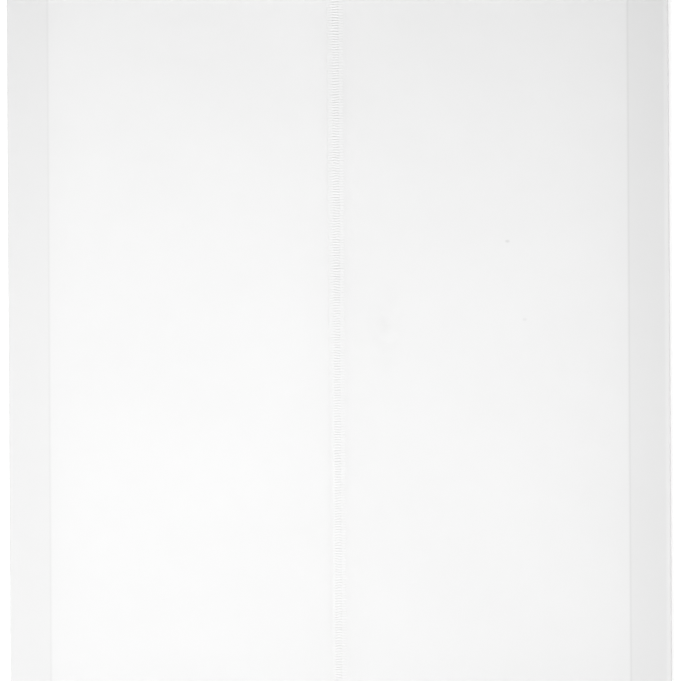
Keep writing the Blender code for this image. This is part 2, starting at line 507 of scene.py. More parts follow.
@dataclass(frozen=True)
class FaceFinish(PlasticFinish):
    """The seam face's film, with painted shade of the strips where the gussets lie under it, a faint painted shadow
    and two dark specks.
    """

    # Painted shade of the two strips; the right one has deeper painted shade than the left, and only it has the
    # painted lighter band at the rim.
    strips: tuple[StripShade, ...] = (
        StripShade(-1.0, 0.038, 0.045, 0.02, 0.0),
        StripShade(1.0, 0.047, 0.07, 0.03, 0.05),
    )
    crease_at: float = 109.8 * MM
    crease_width: float = 0.3 * MM
    rim_width: float = 1.9 * MM
    # A faint painted shadow on the face, right of the seam.
    painted_shadow_at: Point = (17.6 * MM, -13 * MM, 8 * MM)
    painted_shadow_size: Point = (8 * MM, 19 * MM, 1.0)
    painted_shadow: float = 0.06
    specks: tuple[tuple[Point, float], ...] = (
        ((64 * MM, 20.3 * MM, 8 * MM), 0.14),
        ((70.4 * MM, -9.4 * MM, 8 * MM), 0.07),
    )
    speck_size: Point = (1.1 * MM, 0.7 * MM, 1.0)

    def painted_strip_shade(self, bench: NodeBench, across: Socket, shading: StripShade) -> Socket:
        """Painted shade over one strip: a dark line at its crease, shade that deepens along it and a lighter band at
        the bag's rim.

        Args:
            bench: Where the nodes go.
            across: Place across the bag.
            shading: The strip's painted shades.

        Returns:
            The share of light taken out as painted shade.
        """
        end = BAG.half - self.crease_at
        past = bench.maths("SUBTRACT", bench.maths("MULTIPLY", across, shading.side), self.crease_at)
        # Painted shade where the gusset lies under the face, partly the layered film's own greyer look.
        laid_shade = bench.maths("MULTIPLY", bench.ramp(past, -0.1 * MM, 0.1 * MM), shading.laid_shade)
        # A painted dark line along the crease.
        line = bench.ramp(bench.maths("ABSOLUTE", past, 0.0), 2 * self.crease_width, 0.5 * self.crease_width)
        # Painted shade that deepens towards the bag's rim.
        fade = bench.maths("MULTIPLY", bench.ramp(past, 0.0, end), shading.fade)
        # A painted lighter band along the rim, taken off the shade.
        outer = bench.ramp(past, end - self.rim_width, end - 0.6 * self.rim_width)
        rim = bench.maths("MULTIPLY", outer, shading.rim)
        both = bench.maths("ADD", laid_shade, bench.maths("MULTIPLY", line, shading.crease))
        return bench.maths("ADD", both, bench.maths("SUBTRACT", fade, rim))

    def marked_and_shaded(self, bench: NodeBench, colour: Socket) -> Socket:
        """The colour, less the painted shade of the strips, the faint painted shadow and the specks."""
        place = bench.add("ShaderNodeTexCoord").outputs["Object"]
        across = bench.add("ShaderNodeSeparateXYZ", {"Vector": place}).outputs["X"]
        patchy = {"Vector": place, "Scale": 160.0, "Detail": 3.0}
        noisy = bench.add("ShaderNodeTexNoise", patchy).outputs["Fac"]
        # A faint painted shadow, broken up by noise.
        shadow_spot = bench.spot(place, self.painted_shadow_at, self.painted_shadow_size)
        patchy_shadow = bench.maths("MULTIPLY", shadow_spot, bench.ramp(noisy, 0.35, 0.7))
        lost = bench.maths("MULTIPLY", patchy_shadow, self.painted_shadow)
        for centre, depth in self.specks:
            dot = bench.ramp(bench.spot(place, centre, self.speck_size), 0.0, 0.6)
            lost = bench.maths("ADD", lost, bench.maths("MULTIPLY", dot, depth))
        # The painted shade of both strips.
        for shading in self.strips:
            lost = bench.maths("ADD", lost, self.painted_strip_shade(bench, across, shading))
        kept = bench.maths("SUBTRACT", 1.0, lost)
        tinted = bench.add("ShaderNodeVectorMath", {"Scale": kept}, operation="SCALE")
        bench.feed(tinted.inputs[0], colour)
        return tinted.outputs[0]


@dataclass
class Finishes:
    """Every finish of the bag, made once."""

    cloud: bpy.types.NodeTree = field(default_factory=cloud_group)

    def __post_init__(self) -> None:
        """Makes the materials."""
        face = (0.99, 0.99, 0.99)
        # The gussets' film is a darker copy of the face film: painted shade of the folded gussets.
        fold = (0.97, 0.97, 0.97)
        # Crease colour, darker than the film: painted shade in the gussets' folds and at the flap's root.
        crease = (0.94, 0.94, 0.94)
        ribs = (0.975, 0.975, 0.975)
        self.front = FaceFinish("film_front", face, 0.42, alpha=0.62, cloud=0.03).material(self.cloud)
        self.flap = PlasticFinish("film_flap", face, 0.42, alpha=0.5, layer=1.4).material(self.cloud)
        self.back = PlasticFinish("film_back", face, 0.42, alpha=0.9, layer=3.3).material(self.cloud)
        # Painted shade: the gussets take the darker copy of the film.
        self.strip = PlasticFinish("film_gusset", fold, 0.42, alpha=0.7, layer=6.1).material(self.cloud)
        # Painted shade in the creases.
        self.crease = PlasticFinish("film_crease_shade", crease, 0.5, alpha=0.7).material(self.cloud)
        self.weld = PlasticFinish("weld_ribs", ribs, 0.36, alpha=0.62, grain=0.3).material(self.cloud)
        self.cut = PlasticFinish("cut_edge", face, 0.5, alpha=0.62).material(self.cloud)
        self.snap = PlasticFinish(
            "snap_moulding", (0.86, 0.86, 0.85), 0.28, cloud=0.03, spread=0.12, grain=0.15, coat=0.15
        ).material(self.cloud)


@dataclass
class Piece:
    """A finished mesh on its way to being an object of the bag."""

    name: str
    bm: bmesh.types.BMesh
    materials: Sequence[bpy.types.Material]
    slot: Slot
    replaces: Sequence[str] = ()

    def object(self) -> bpy.types.Object:
        """Makes the object, shaded smooth but for its sharp edges.

        Returns:
            The object, not yet on a body.
        """
        bmesh.ops.recalc_face_normals(self.bm, faces=self.bm.faces[:])
        mesh = bpy.data.meshes.new(self.name)
        self.bm.to_mesh(mesh)
        self.bm.free()
        for material in self.materials:
            mesh.materials.append(material)
        mesh.shade_smooth()
        mesh.set_sharp_from_angle(angle=SHARP_ANGLE)
        made = bpy.data.objects.new(self.name, mesh)
        bpy.context.scene.collection.objects.link(made)
        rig.slot(made, self.slot.value)
        if self.replaces:
            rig.replaces(made, *self.replaces)
        LOG.info("%s: %d faces", self.name, len(mesh.polygons))
        return made

    def ride(self, body: str) -> bpy.types.Object:
        """Makes the object and lets it move with one body."""
        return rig.ride(self.object(), body)

    def blend(self, first: str, second: str, start: Point, end: Point) -> bpy.types.Object:
        """Makes the object and lets it bend from one body to the next between two points."""
        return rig.blend(self.object(), first, second, start=start, end=end)


def verts_of(geometry: Sequence[object]) -> list[bmesh.types.BMVert]:
    """The vertices among some bmesh elements."""
    return [item for item in geometry if isinstance(item, bmesh.types.BMVert)]


def flat_sheet(columns: Sequence[float], rows: Sequence[float]) -> bmesh.types.BMesh:
    """A flat sheet whose mesh lines run at given places.

    Args:
        columns: Places in x, in order.
        rows: Places in y, in order.

    Returns:
        The sheet, at height nought.
    """
    bm = bmesh.new()
    across, along = len(columns) - 1, len(rows) - 1
    bmesh.ops.create_grid(bm, x_segments=across, y_segments=along, size=0.5)
    for vert in bm.verts:
        vert.co.x = columns[round((vert.co.x + 0.5) * across)]
        vert.co.y = rows[round((vert.co.y + 0.5) * along)]
    return bm


def lift(bm: bmesh.types.BMesh, rise: Callable[[float, float], float]) -> None:
    """Sets the height of each vertex from its place.

    Args:
        bm: The sheet.
        rise: Gives the height at an x and a y.
    """
    for vert in bm.verts:
        vert.co.z = rise(vert.co.x, vert.co.y)


def thicken(bm: bmesh.types.BMesh, depth: float = BAG.film) -> None:
    """Gives a level sheet its lower face, and walls along its edges."""
    swept = bmesh.ops.extrude_face_region(bm, geom=bm.faces[:])["geom"]
    bmesh.ops.translate(bm, vec=(0, 0, -depth), verts=verts_of(swept))


def sweep(bm: bmesh.types.BMesh, geometry: Sequence[object], step: Point, steps: int) -> list[object]:
    """Extrudes geometry straight, in steps.

    Args:
        bm: The mesh.
        geometry: What is swept.
        step: Move of one step.
        steps: Number of steps.

    Returns:
        The geometry at the end of the sweep.
    """
    made = bmesh.ops.spin(
        bm, geom=list(geometry), cent=(0, 0, 0), axis=(0, 0, 1), dvec=step, angle=0, steps=steps
    )
    return made["geom_last"]


def roll(
    bm: bmesh.types.BMesh, geometry: Sequence[object], centre: Point, turn: float, steps: int
) -> list[object]:
    """Spins geometry round a fold line that runs along Y.

    Args:
        bm: The mesh.
        geometry: What is spun.
        centre: A point of the fold line.
        turn: Angle, from +Z towards +X where it is above nought.
        steps: Number of steps.

    Returns:
        The geometry at the end of the spin.
    """
    made = bmesh.ops.spin(bm, geom=list(geometry), cent=centre, axis=(0, 1, 0), angle=turn, steps=steps)
    return made["geom_last"]


@dataclass
class Gusset:
    """A gusset: one film from the back's edge, in to the inner crease and out to the front's edge."""

    edge: Edge
    finishes: Finishes
    arc_steps: int = 8
    strip_steps: int = 8
    length_pitch: float = 5 * MM
    tuck: float = 1.3 * MM
    wander: float = 0.12 * MM
    wander_pitch: float = 40 * MM
    crease_reach: float = 0.5 * MM
    mitre_gap: float = 0.6 * MM

    @property
    def to_world(self) -> Matrix:
        """Takes (inwards, along, up) to the bag's frame."""
        if self.edge is Edge.LEFT:
            return Matrix.Translation((-BAG.half, 0, 0))
        if self.edge is Edge.RIGHT:
            return Matrix.Translation((BAG.half, 0, 0)) @ Matrix.Scale(-1, 4, (1, 0, 0))
        swap = Matrix(((0, 1, 0, 0), (1, 0, 0, 0), (0, 0, 1, 0), (0, 0, 0, 1)))
        return Matrix.Translation((0, -BAG.top, 0)) @ swap

    @property
    def span(self) -> tuple[float, float]:
        """Where the gusset starts and ends along its edge."""
        if self.edge is Edge.BOTTOM:
            return -BAG.half, BAG.half
        return -BAG.top, BAG.mouth

    def section(self, bm: bmesh.types.BMesh) -> None:
        """Draws the folded film's cross-section, as faces at the start of the edge.

        Args:
            bm: The mesh, empty so far.
        """
        start, _ = self.span
        bend = math.pi - BAG.fold
        away, rise = BAG.inner_crease
        ends = [bm.verts.new((0, start, height)) for height in (BAG.film, 0)]
        line = [*ends, bm.edges.new(ends)]
        line = roll(bm, line, (0, start, BAG.crease), bend, self.arc_steps)
        step = BAG.strip / self.strip_steps
        run, climb = step * math.cos(BAG.fold), step * math.sin(BAG.fold)
        line = sweep(bm, line, (run, 0, climb), self.strip_steps)
        line = roll(bm, line, (away, start, rise), 2 * BAG.fold - math.pi, self.arc_steps)
        line = sweep(bm, line, (-run, 0, climb), self.strip_steps)
        if self.edge is not Edge.BOTTOM:
            roll(bm, line, (0, start, BAG.front_crease), bend, self.arc_steps)

    def mitre(self, bm: bmesh.types.BMesh, corner: float, inwards: float) -> None:
        """Cuts an end at 45 degrees where two gussets meet.

        Args:
            bm: The gusset's mesh.
            corner: Place of the bag's corner along the edge.
            inwards: 1 if the gusset goes on towards higher places, or else -1.
        """
        everything = bm.verts[:] + bm.edges[:] + bm.faces[:]
        point = (0, corner + inwards * self.mitre_gap, 0)
        cut = bmesh.ops.bisect_plane(
            bm, geom=everything, plane_co=point, plane_no=(1, -inwards, 0), clear_outer=True, dist=1e-7
        )
        rim = [item for item in cut["geom_cut"] if isinstance(item, bmesh.types.BMEdge)]
        bmesh.ops.holes_fill(bm, edges=rim, sides=0)

    def build(self) -> bpy.types.Object:
        """Makes the gusset, which bends at its inner crease.

        Returns:
            The gusset's object.
        """
        bm = bmesh.new()
        self.section(bm)
        start, end = self.span
        steps = round((end - start) / self.length_pitch)
        sweep(bm, bm.faces[:], (0, (end - start) / steps, 0), steps)
        away, rise = BAG.inner_crease
        for vert in bm.verts:
            share = max(0.0, vert.co.x / away)
            shift = self.wander * drift(vert.co.y, 0.0, self.wander_pitch, len(self.edge.value)) - self.tuck
            vert.co.x += share * shift
        self.mitre(bm, start, 1)
        if self.edge is Edge.BOTTOM:
            self.mitre(bm, end, -1)
        # Faces along the fold lines take the darker crease finish: painted shade in the creases.
        lines = ((away, rise), (0.0, BAG.crease), (0.0, BAG.front_crease))
        for face in bm.faces:
            middle = face.calc_center_median()
            near = min(math.hypot(middle.x - x, middle.z - z) for x, z in lines)
            face.material_index = int(near < self.crease_reach)
        bmesh.ops.transform(bm, matrix=self.to_world, verts=bm.verts[:])
        word = self.edge.value
        nodes = (f"gusset_{word}_rear", f"gusset_{word}_front")
        materials = (self.finishes.strip, self.finishes.crease)
        piece = Piece(f"film_gusset_{word}", bm, materials, Slot.FILM, nodes)
        fold = self.to_world @ Vector((away, 0, rise))
        reach = Vector((0, 0, BAG.gap))
        return piece.blend(f"{word}_rear", f"{word}_front", tuple(fold - reach), tuple(fold + reach))


@dataclass
class BackPanel:
    """The seamless back, which the bag lies on."""

    finishes: Finishes
    pitch: float = 3 * MM
    ripple: float = 0.16 * MM
    ripple_pitch: float = 45 * MM

    def rise(self, x: float, y: float) -> float:
        """Height of the back's upper face."""
        rim = min(BAG.half - abs(x), BAG.top - abs(y))
        free = eased(rim, 4 * MM, 25 * MM) * (1 - bell(math.hypot(x, y - BAG.snap_up), 20 * MM))
        return BAG.film + free * self.ripple * (0.5 + 0.5 * drift(x, y, self.ripple_pitch, 5.2))

    def build(self) -> bpy.types.Object:
        """Makes the back's film."""
        bm = flat_sheet(spaced(-BAG.half, BAG.half, self.pitch), spaced(-BAG.top, BAG.top, self.pitch))
        lift(bm, self.rise)
        thicken(bm)
        return Piece("film_back", bm, [self.finishes.back], Slot.FILM, ["back_panel"]).ride("back")


@dataclass
class RibbedWeld:
    """A sealed band of film with fine ridges across it and a thin trimmed lip along one side."""

    finishes: Finishes
    width: float = 2.8 * MM
    pitch: float = 1.0 * MM
    height: float = 0.2 * MM
    steps_a_ridge: int = 6
    faint: float = 0.4
    faint_below: float = 0.3
    fades: tuple[float, float] = (-60 * MM, -10 * MM)
    lip: float = 1.6 * MM
    lip_wander: float = 0.1 * MM
    lip_curl: float = 0.08 * MM
    lip_thinning: float = 0.97
    cut_width: float = 0.1 * MM
    round_off: float = 0.35 * MM

    def columns(self, margin: float) -> list[float]:
        """Places of the mesh lines across the band, from the start of its margin to the end of its lip."""
        beside = [-margin, 0.2 * MM - margin, -margin / 2] if margin else []
        inside = [place / 2.8 * self.width for place in (0.0, 0.12, 0.35, 0.8, 1.4, 2.0, 2.45, 2.68, 2.8)]
        outside = [self.width + share * (self.lip - self.cut_width) for share in (0.3, 0.65, 1.0)]
        return [*beside, *inside, *outside, self.width + self.lip]

    def taper(self, across: float, along: float, margin: float) -> float:
        """Share of their height that the ridges keep: full on the band, faint on its margin and its lip.

        Args:
            across: Place across the band, from its first side.
            along: Place along the band.
            margin: Width of the film before the first side into which the ridges run on.

        Returns:
            From 0 to 1.
        """
        lasting = self.faint * (self.faint_below + (1 - self.faint_below) * eased(along, *self.fades))
        before = lasting * eased(across, -margin, self.round_off - margin)
        after = (1 - self.faint) * eased(across, self.width - self.round_off, self.width)
        return (before + (1 - before) * eased(across, 0.0, self.round_off)) * (1 - after)

    def ridge(self, across: float, along: float) -> float:
        """Share of its full height that the band has at a place.

        Args:
            across: Place across the band, from its first side.
            along: Place along the band.

        Returns:
            From 0 in a groove to about 1 on a ridge.
        """
        lean = 0.45 * noise.noise(Vector((across * 700, along * 260, 2.2)))
        wave = 0.5 + 0.5 * math.cos(math.tau * (along / self.pitch + lean))
        press = 0.8 + 0.3 * noise.noise(Vector((along * 420, 7.7, 0.0))) + 0.3 * drift(along, 0, 30 * MM, 3.1)
        return wave * press

    def build(
        self,
        name: str,
        start: float,
        end: float,
        first_side: float,
        level: float,
        upright: bool,
        margin: float = 0.0,
    ) -> Piece:
        """Makes a band.

        Args:
            name: The CAD node that the band stands for.
            start: Where it starts along its length.
            end: Where it ends.
            first_side: Place of the side that has no lip.
            level: Height of the film's upper face.
            upright: True where the band runs up the bag, False where it runs across.
            margin: Width of the film before the first side into which the ridges run on.

        Returns:
            The band, not yet on a body.
        """
        bm = flat_sheet(self.columns(margin), spaced(start, end, self.pitch / self.steps_a_ridge))
        for vert in bm.verts:
            across, along = vert.co.x, vert.co.y
            trim = self.lip_wander * (drift(along, 0, 11 * MM, 4.4) + 0.4 * drift(along, 0, 3 * MM, 9.9))
            out = max(0.0, (across - self.width) / self.lip)
            ridge = self.ridge(across, along) * self.taper(across, along, margin)
            x, y = first_side + across + out * trim, along
            if not upright:
                x, y = y, x
            vert.co = (x, y, level + DRAPE.at(x, y) + self.height * ridge + self.lip_curl * out)
        cut_from = first_side + self.width + self.lip - self.cut_width
        for face in bm.faces:
            middle = face.calc_center_median()
            face.material_index = int((middle.x if upright else middle.y) > cut_from - self.cut_width / 2)
        upper = set(bm.verts)
        thicken(bm)
        for vert in set(bm.verts) - upper:
            across = (vert.co.x if upright else vert.co.y) - first_side
            out = min(1.0, max(0.0, (across - self.width) / self.lip))
            vert.co.z += BAG.film * self.lip_thinning * (1 - (1 - out) ** 2)
        return Piece("ribs_" + name, bm, [self.finishes.weld, self.finishes.cut], Slot.WELD, [name])


@dataclass
class FrontFace:
    """The seam face: two halves of film, the centre weld between them and the bottom tab."""

    finishes: Finishes
    pitch: float = 2.5 * MM
    seam_shift: float = -0.95 * MM
    underlap: float = 1.7 * MM
    step_run: float = 0.9 * MM
    lap_gap: float = 0.05 * MM
    weld_stop: float = 2.3 * MM
    tab_depth: float = 12.5 * MM
    seat: float = 0.75 * MM
    tab_steps: int = 5

    def __post_init__(self) -> None:
        """Works out the seam's lines from the weld's width."""
        self.weld = RibbedWeld(self.finishes)
        self.weld_left = self.seam_shift - self.weld.width / 2
        self.weld_right = self.seam_shift + self.weld.width / 2
        self.foot = self.weld_right + BAG.gap / 2
        self.head = self.foot + self.step_run

    def build(self) -> None:
        """Makes the halves, the welds and the tab, which all move with the front."""
        self.build_left()
        self.build_right()
        self.build_welds()
        self.build_tab()

    def build_left(self) -> None:
        """The left half, as far as the weld's margin."""
        edge = self.weld_left - self.underlap - 0.01 * MM
        bm = flat_sheet(spaced(-BAG.half, edge, self.pitch), spaced(-BAG.top, BAG.mouth, self.pitch))
        lift(bm, lambda x, y: BAG.front_face + DRAPE.at(x, y))
        thicken(bm)
        Piece("film_front_left", bm, [self.finishes.front], Slot.FILM, ["front_left_half"]).ride("front")

    def build_right(self) -> None:
        """The right half, whose edge steps down and passes under the weld."""
        under = self.weld_left - self.underlap
        columns = spaced(under, self.foot, 1 * MM)[:-1] + spaced(self.foot, self.head, 0.15 * MM)
        columns += [self.head + 0.4 * MM] + spaced(self.head + 1.2 * MM, BAG.half, self.pitch)
        bm = flat_sheet(columns, spaced(-BAG.top, BAG.mouth, self.pitch))
        drop = BAG.film + self.lap_gap

        def rise(x: float, y: float) -> float:
            """Height of the half's upper face."""
            return BAG.front_face + DRAPE.at(x, y) - drop * (1 - eased(x, self.foot, self.head))

        lift(bm, rise)
        clear_of_gusset = -BAG.top + BAG.strip + BAG.gap
        hidden = [
            face
            for face in bm.faces
            if face.calc_center_median().x < self.head and face.calc_center_median().y < clear_of_gusset
        ]
        bmesh.ops.delete(bm, geom=hidden, context="FACES")
        thicken(bm)
        Piece("film_front_right", bm, [self.finishes.front], Slot.FILM, ["front_right_half"]).ride("front")

    def build_welds(self) -> None:
        """The centre weld below and above the snap, and the bottom weld."""
        level = BAG.front_face
        lower_end = BAG.snap_up - self.weld_stop
        upper_start = BAG.snap_up + self.weld_stop
        weld = self.weld
        for name, start, end in (
            ("centre_weld_lower", -BAG.top, lower_end),
            ("centre_weld_upper", upper_start, BAG.mouth),
        ):
            weld.build(name, start, end, self.weld_left, level, True, self.underlap).ride("front")
        side = BAG.half - BAG.strip
        first = -BAG.top + self.tab_depth + BAG.gap / 4
        weld.build("bottom_weld", -side, side, first, level + self.seat, False).ride("front")

    def build_tab(self) -> None:
        """The bottom tab, which wraps round the front's lower edge."""
        side = BAG.half - BAG.strip
        level = BAG.front_face + self.seat
        under = BAG.front_crease - BAG.gap / 2
        bm = bmesh.new()
        ends = [bm.verts.new((self.tab_depth, -side, height)) for height in (level - BAG.film, level)]
        line = [*ends, bm.edges.new(ends)]
        line = sweep(bm, line, (-self.tab_depth / self.tab_steps, 0, 0), self.tab_steps)
        middle = (level + under - BAG.film) / 2
        roll(bm, line, (0, -side, middle), -math.pi, 12)
        count = round(2 * side / (5 * MM))
        sweep(bm, bm.faces[:], (0, 2 * side / count, 0), count)
        swap = Matrix(((0, 1, 0, 0), (1, 0, 0, -BAG.top), (0, 0, 1, 0), (0, 0, 0, 1)))
        bmesh.ops.transform(bm, matrix=swap, verts=bm.verts[:])
        Piece("film_bottom_tab", bm, [self.finishes.flap], Slot.FILM, ["bottom_tab"]).ride("front")


@dataclass
class Flap:
    """The flap: its spine over the mouth and the panel that droops over the front."""

    finishes: Finishes
    inset: float = 2 * MM
    skew: float = 0.6 * MM
    corner: float = 14 * MM
    level: float = BAG.flap_level
    bend: float = 0.6 * MM
    bulge: float = 0.5 * MM
    droop: float = 3.1 * MM
    hold: float = 30 * MM
    pitch: float = 3 * MM

    @property
    def half(self) -> float:
        """Half of the flap's width."""
        return BAG.half - self.inset

    @property
    def foot(self) -> float:
        """Height of the spine's foot."""
        return BAG.film + BAG.gap

    def columns(self) -> list[float]:
        """Mesh lines across the flap, closer together at its round corners."""
        start = self.half - self.corner
        angles = [math.pi / 2 * n / 12 for n in range(1, 13)]
        corner = [start + self.corner * math.sin(angle) for angle in angles]
        middle = spaced(-start, start, self.pitch)
        return [-place for place in reversed(corner)] + middle + corner

    def place(self, x: float, way: float) -> Point:
        """The outer face's point at a place across and a share of the way to the free edge.

        Args:
            x: Place across the flap.
            way: From 0 to 1 up the spine, 1 to 2 round the bend and 2 to 3 along the panel.

        Returns:
            The point in the bag's frame.
        """
        shoulder = self.level - self.bend
        if way <= 1:
            out = self.bulge * math.sin(math.pi * way)
            return x, BAG.top + out, self.foot + (shoulder - self.foot) * way
        if way <= 2:
            angle = (way - 1) * math.pi / 2
            return x, BAG.top - self.bend * (1 - math.cos(angle)), shoulder + self.bend * math.sin(angle)
        past = max(0.0, abs(x) - self.half + self.corner)
        lost = self.corner - math.sqrt(max(0.0, self.corner**2 - past**2))
        share = way - 2
        depth = BAG.flap_depth + self.skew * x / self.half
        y = BAG.top - self.bend - share * (depth - self.bend - lost)
        free = 1 - bell(math.hypot(x, y - BAG.snap_up), self.hold)
        drop = self.droop * eased(BAG.top - y, 6 * MM, BAG.flap_depth) * free
        wave = 0.18 * MM * drift(x, y, 40 * MM, 12.5) * free * eased(BAG.top - y, 4 * MM, 20 * MM)
        return x, y, self.level - drop + wave

    def build(self) -> None:
        """Makes the flap's film and the crease at its root."""
        ways = [n / 8 for n in range(8)] + [1 + n / 8 for n in range(8)] + [2 + n / 24 for n in range(25)]
        bm = flat_sheet(self.columns(), ways)
        for vert in bm.verts:
            vert.co = self.place(vert.co.x, vert.co.y)
        bmesh.ops.reverse_faces(bm, faces=bm.faces[:])
        bmesh.ops.solidify(bm, geom=bm.faces[:], thickness=BAG.film)
        piece = Piece("film_flap", bm, [self.finishes.flap], Slot.FILM, ["flap_spine", "flap_panel"])
        fold = self.level - BAG.film - BAG.gap / 2
        reach = 0.4 * MM
        piece.blend("spine", "flap", (0, BAG.top, fold - reach), (0, BAG.top - reach, fold))
        self.build_root()

    def build_root(self) -> None:
        """The crease between the back and the spine."""
        bm = bmesh.new()
        ends = [bm.verts.new((BAG.top - out, -self.half, BAG.film)) for out in (BAG.film, 0)]
        line = [*ends, bm.edges.new(ends)]
        sweep(bm, line, (0, 0, BAG.gap / 6), 6)
        count = round(2 * self.half / (6 * MM))
        sweep(bm, bm.faces[:], (0, 2 * self.half / count, 0), count)
        swap = Matrix(((0, 1, 0, 0), (1, 0, 0, 0), (0, 0, 1, 0), (0, 0, 0, 1)))
        bmesh.ops.transform(bm, matrix=swap, verts=bm.verts[:])
        # The root takes the darker crease finish: painted shade in the fold.
        piece = Piece("film_flap_root", bm, [self.finishes.crease], Slot.FILM)
        piece.blend("back", "spine", (0, BAG.top, BAG.film), (0, BAG.top, BAG.film + BAG.gap))


@dataclass
class Snap:
    """The snap button: cap and stud on the flap, socket and backing on the front."""

    finishes: Finishes
    flap_level: float = BAG.flap_level
    socket_seat: float = 0.47 * MM
    steps: int = 72

    def turned(
        self, profile: Sequence[tuple[float, float]], level: float, rounding: float
    ) -> bmesh.types.BMesh:
        """Turns a profile round the snap's axis and rounds its sharp edges.

        Args:
            profile: Radius and height points in millimetres, closed where it doesn't start on the axis.
            level: Height that the profile's heights are measured from.
            rounding: Width of the rounding on sharp edges.

        Returns:
            The closed mesh, in place.
        """
        bm = bmesh.new()
        points = [bm.verts.new((radius * MM, 0, height * MM)) for radius, height in profile]
        lines = [bm.edges.new(pair) for pair in zip(points, points[1:])]
        if profile[0][0] > 0:
            lines.append(bm.edges.new((points[-1], points[0])))
        bmesh.ops.spin(
            bm,
            geom=points + lines,
            cent=(0, 0, 0),
            axis=(0, 0, 1),
            angle=math.tau,
            steps=self.steps,
            use_merge=True,
        )
        bmesh.ops.remove_doubles(bm, verts=bm.verts[:], dist=1e-6)
        bmesh.ops.recalc_face_normals(bm, faces=bm.faces[:])
        sharp = [edge for edge in bm.edges if edge.is_manifold and edge.calc_face_angle() > math.radians(50)]
        bmesh.ops.bevel(
            bm,
            geom=sharp,
            offset=rounding,
            segments=3,
            profile=0.5,
            affect="EDGES",
            material=-1,
            clamp_overlap=True,
        )
        bmesh.ops.translate(bm, vec=(0, BAG.snap_up, level), verts=bm.verts[:])
        return bm

    def place(self, name: str, bm: bmesh.types.BMesh, body: str) -> None:
        """Puts a snap piece on its body in place of its CAD node."""
        Piece("moulded_" + name, bm, [self.finishes.snap], Slot.SNAP, [name]).ride(body)

    def build(self) -> None:
        """Makes the four pieces of the snap."""
        cap = [(0, -2.5), (1.9, -2.5), (1.7, -2.1), (1.7, 0.02), (5.7, 0.02), (6.0, 0.3), (6.0, 0.85)]
        cap += [(5.85, 1.2), (5.4, 1.55), (4.7, 1.8), (4.25, 1.86), (4.1, 1.74), (3.9, 1.74), (3.75, 1.9)]
        cap += [(2.6, 2.04), (1.3, 2.1), (0, 2.1)]
        self.place("snap_cap", self.turned(cap, self.flap_level, 0.08 * MM), "flap")
        stud = [(2.0, -0.32), (5.0, -0.32), (5.0, -0.9), (3.1, -0.95), (2.45, -1.2)]
        stud += [(2.45 + 0.25 * math.sin(math.pi * n / 8), -1.2 - 1.3 * n / 8) for n in range(1, 8)]
        stud += [(2.3, -2.5), (2.2, -2.5), (2.0, -2.1)]
        self.place("snap_stud", self.turned(stud, self.flap_level, 0.08 * MM), "flap")
        backing = [(0, 2.45), (1.9, 2.45), (1.7, 2.05), (1.7, -0.9), (5.2, -0.9), (5.5, -1.05), (5.5, -1.4)]
        backing += [(5.2, -1.75), (4.2, -2.0), (2.4, -2.08), (0, -2.1)]
        self.place("snap_backing", self.turned(backing, BAG.front_face - BAG.film, 0.06 * MM), "front")
        self.place("snap_socket", self.socket(), "front")

    def socket(self) -> bmesh.types.BMesh:
        """The socket: a round base with a ring cut by four slots, which grips the stud.

        Returns:
            The closed mesh, in place.
        """
        base = [(2.0, 0.0), (5.3, 0.0), (5.3, 0.95), (4.3, 1.08)]
        ring = [(4.1, 1.4), (4.1, 2.1), (3.8, 2.38), (3.2, 2.38), (3.0, 2.2), (3.0, 1.5)]
        well = [(3.0, 1.08), (2.2, 1.08), (2.0, 0.7)]
        gap = 2 * math.asin(0.3 / 3.55)
        arc = math.pi / 2 - gap
        bm = bmesh.new()
        for quarter in range(4):
            turn = Euler((0, 0, quarter * math.pi / 2 + gap / 2)).to_matrix()
            for profile, sweep_angle, steps in ((base + ring + well, arc, 16), (base + well, gap, 3)):
                points = [bm.verts.new(turn @ Vector((r * MM, 0, z * MM))) for r, z in profile]
                lines = [bm.edges.new(pair) for pair in zip(points, points[1:] + points[:1])]
                bmesh.ops.spin(
                    bm, geom=points + lines, cent=(0, 0, 0), axis=(0, 0, 1), angle=sweep_angle, steps=steps
                )
                turn = Euler((0, 0, arc)).to_matrix() @ turn
        bmesh.ops.remove_doubles(bm, verts=bm.verts[:], dist=1e-6)
        bmesh.ops.holes_fill(bm, edges=[edge for edge in bm.edges if edge.is_boundary], sides=0)
        bmesh.ops.recalc_face_normals(bm, faces=bm.faces[:])
        seat = BAG.front_face - BAG.film + self.socket_seat
        bmesh.ops.translate(bm, vec=(0, BAG.snap_up, seat), verts=bm.verts[:])
        return bm


